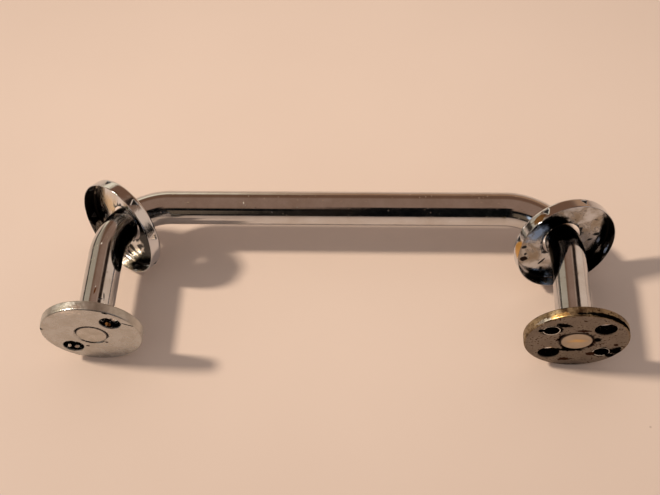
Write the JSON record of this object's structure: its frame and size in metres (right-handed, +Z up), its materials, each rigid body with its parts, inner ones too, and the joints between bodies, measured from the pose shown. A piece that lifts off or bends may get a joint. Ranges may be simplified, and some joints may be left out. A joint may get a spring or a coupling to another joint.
{
  "type": "wall rail paper towel holder",
  "caption": "Wall-mounted U-shaped tube that holds a kitchen paper roll between its legs, on round screw-on flanges with loose pressed cover caps.",
  "frame": {"origin": "centre of the outline seen from above, at the level of the surface that the flange rims stand on", "axes": "+X along the bar to the end with four holes in its flange, +Y from the wall face towards the bar, +Z up"},
  "size_m": [0.3082, 0.0924, 0.0563],
  "materials": {
    "tube_chrome": "polished chrome plate, worn",
    "left_plate": "chromed, dulled by dirt",
    "right_plate": "corroded plate with rust at its edges",
    "left_turned": "turned end face",
    "right_turned": "turned end face, stained",
    "left_chrome": "polished chrome plate, stained inside",
    "right_chrome": "polished chrome plate, stained inside"
  },
  "bodies": {
    "rail": {"rail_tube": "tube_chrome", "wall_flange_left": "left_plate", "wall_flange_right": "right_plate", "end_plug_left": "left_turned", "end_plug_right": "right_turned"},
    "left_cover": {"cover_left": "left_chrome"},
    "right_cover": {"cover_right": "right_chrome"}
  },
  "joints": [
    {"name": "left_cover_round_bend", "type": "hinge", "parent": "rail", "child": "left_cover", "pos_m": [-0.0937, 0.00329, 0.027], "axis": [0, 0, -1], "range_deg": [-42.7, 47.3]},
    {"name": "right_cover_round_bend", "type": "hinge", "parent": "rail", "child": "right_cover", "pos_m": [0.0937, 0.00329, 0.027], "axis": [0, 0, 1], "range_deg": [-25.1, 64.9]}
  ]
}
